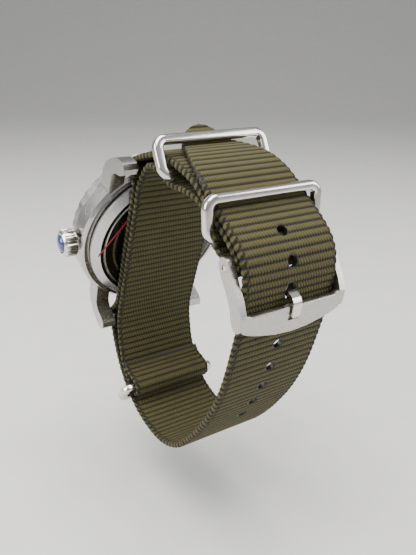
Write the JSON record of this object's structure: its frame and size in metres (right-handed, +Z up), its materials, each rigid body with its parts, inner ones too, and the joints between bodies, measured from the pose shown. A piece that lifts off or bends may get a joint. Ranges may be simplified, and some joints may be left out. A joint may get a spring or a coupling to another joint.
{
  "type": "dive watch",
  "caption": "Diver's wristwatch with a ribbed one-piece pull-through fabric strap, closed in a loop with a pin buckle and steel keeper rings.",
  "frame": {"origin": "the wrist axis: the middle of the closed strap loop, halfway between the sides of the strap", "axes": "+X towards the crown (3 o'clock); +Z up; the dial looks along -Y and 20 degrees upwards; the buckle is on the +Y side"},
  "size_m": [0.0409, 0.0607, 0.0684],
  "materials": {
    "satin_steel": "satin brushed",
    "polished_steel": "polished stainless steel",
    "fine_steel": "fine turned",
    "gilt": "gilt plate",
    "webbing": "ribbed woven nylon, olive green",
    "fused_nylon": "melted nylon",
    "rubber": "matt black",
    "sapphire": "clear",
    "rear_window": "clear glass, dark behind",
    "cabochon": "gloss blue",
    "black": "matt black",
    "lume": "pale, satin"
  },
  "bodies": {
    "watch": {"mid_case": "satin_steel", "caseback_ring": "polished_steel", "caseback_window": "rear_window", "window_gasket": "rubber", "caseback_gasket": "rubber", "movement_plate": "gilt", "movement_bridge": "fine_steel", "movement_holder": "black", "rotor_bearing": "polished_steel", "crown_tube": "fine_steel", "bezel_click_spring": "fine_steel", "crystal": "sapphire", "crystal_gasket": "rubber", "chapter_ring": "black", "dial": "black", "hand_arbor": "fine_steel", "upper_spring_bar": "fine_steel", "lower_spring_bar": "fine_steel", "long_strap": "webbing", "short_strap": "webbing", "weld_fold": "fused_nylon", "weld_short_strap": "fused_nylon", "weld_flap_end": "fused_nylon"},
    "stem": {"winding_stem": "polished_steel"},
    "crown": {"crown": "polished_steel", "crown_cabochon": "cabochon", "crown_gasket": "rubber"},
    "bezel": {"bezel": "satin_steel", "bezel_insert": "black"},
    "hour_hand": {"hour_hand": "lume"},
    "minute_hand": {"minute_hand": "lume"},
    "seconds_hand": {"seconds_hand": "lume"},
    "rotor": {"rotor": "fine_steel"},
    "balance": {"balance_wheel": "gilt"},
    "upper_tip_crown_side": {"upper_bar_tip_crown_side": "fine_steel"},
    "upper_tip_far_side": {"upper_bar_tip_far_side": "fine_steel"},
    "lower_tip_crown_side": {"lower_bar_tip_crown_side": "fine_steel"},
    "lower_tip_far_side": {"lower_bar_tip_far_side": "fine_steel"},
    "buckle": {"buckle_frame": "polished_steel", "buckle_pin": "polished_steel"},
    "tongue": {"buckle_tongue": "polished_steel"},
    "buckle_keeper": {"buckle_keeper": "polished_steel"},
    "tip_keeper": {"tip_keeper": "polished_steel"},
    "flap_keeper": {"flap_keeper": "polished_steel"}
  },
  "joints": [
    {"name": "crown_pull", "type": "slide", "parent": "watch", "child": "stem", "axis": [1, 0, 0], "range_m": [0, 0.0012]},
    {"name": "crown_turn", "type": "hinge", "parent": "stem", "child": "crown", "pos_m": [0.02, -0.02524, 0.01119], "axis": [1, 0, 0], "continuous": true},
    {"name": "bezel_turn", "type": "hinge", "parent": "watch", "child": "bezel", "pos_m": [0, -0.0228, 0.0103], "axis": [0, -0.9397, 0.342], "continuous": true},
    {"name": "minute_hand_turn", "type": "hinge", "parent": "watch", "child": "minute_hand", "pos_m": [0, -0.0228, 0.0103], "axis": [0, 0.9397, -0.342], "continuous": true},
    {"name": "hour_hand_turn", "type": "hinge", "parent": "watch", "child": "hour_hand", "pos_m": [0, -0.0228, 0.0103], "axis": [0, 0.9397, -0.342], "continuous": true},
    {"name": "seconds_hand_turn", "type": "hinge", "parent": "watch", "child": "seconds_hand", "pos_m": [0, -0.0228, 0.0103], "axis": [0, 0.9397, -0.342], "continuous": true},
    {"name": "rotor_spin", "type": "hinge", "parent": "watch", "child": "rotor", "pos_m": [0, -0.0228, 0.0103], "axis": [0, -0.9397, 0.342], "continuous": true},
    {"name": "balance_swing", "type": "hinge", "parent": "watch", "child": "balance", "pos_m": [-0.0055, -0.02092, 0.01547], "axis": [0, -0.9397, 0.342], "range_deg": [-150, 150]},
    {"name": "upper_tip_crown_side_press", "type": "slide", "parent": "watch", "child": "upper_tip_crown_side", "axis": [-1, 0, 0], "range_m": [0, 0.0011], "stiffness_N_per_m": 400, "springref_m": -0.002},
    {"name": "upper_tip_far_side_press", "type": "slide", "parent": "watch", "child": "upper_tip_far_side", "axis": [1, 0, 0], "range_m": [0, 0.0011], "stiffness_N_per_m": 400, "springref_m": -0.002},
    {"name": "lower_tip_crown_side_press", "type": "slide", "parent": "watch", "child": "lower_tip_crown_side", "axis": [-1, 0, 0], "range_m": [0, 0.0011], "stiffness_N_per_m": 400, "springref_m": -0.002},
    {"name": "lower_tip_far_side_press", "type": "slide", "parent": "watch", "child": "lower_tip_far_side", "axis": [1, 0, 0], "range_m": [0, 0.0011], "stiffness_N_per_m": 400, "springref_m": -0.002},
    {"name": "buckle_swing", "type": "hinge", "parent": "watch", "child": "buckle", "pos_m": [0, 0.0195, 0.018], "axis": [1, 0, 0], "range_deg": [-2, 2]},
    {"name": "tongue_swing", "type": "hinge", "parent": "buckle", "child": "tongue", "pos_m": [0, 0.0195, 0.018], "axis": [1, 0, 0], "range_deg": [-0.4, 1.5]},
    {"name": "buckle_keeper_rock", "type": "hinge", "parent": "watch", "child": "buckle_keeper", "pos_m": [0, 0.01521, 0.02156], "axis": [1, 0, 0], "range_deg": [-20, 1]},
    {"name": "tip_keeper_rock", "type": "hinge", "parent": "watch", "child": "tip_keeper", "pos_m": [0, 0.00108, 0.02928], "axis": [1, 0, 0], "range_deg": [-20, 2]},
    {"name": "flap_keeper_rock", "type": "hinge", "parent": "watch", "child": "flap_keeper", "pos_m": [0, -0.01817, -0.02401], "axis": [1, 0, 0], "range_deg": [-18, 18]}
  ],
  "couplings": [
    {"joint": "hour_hand_turn", "follows": "minute_hand_turn", "ratio": 0.083333}
  ]
}
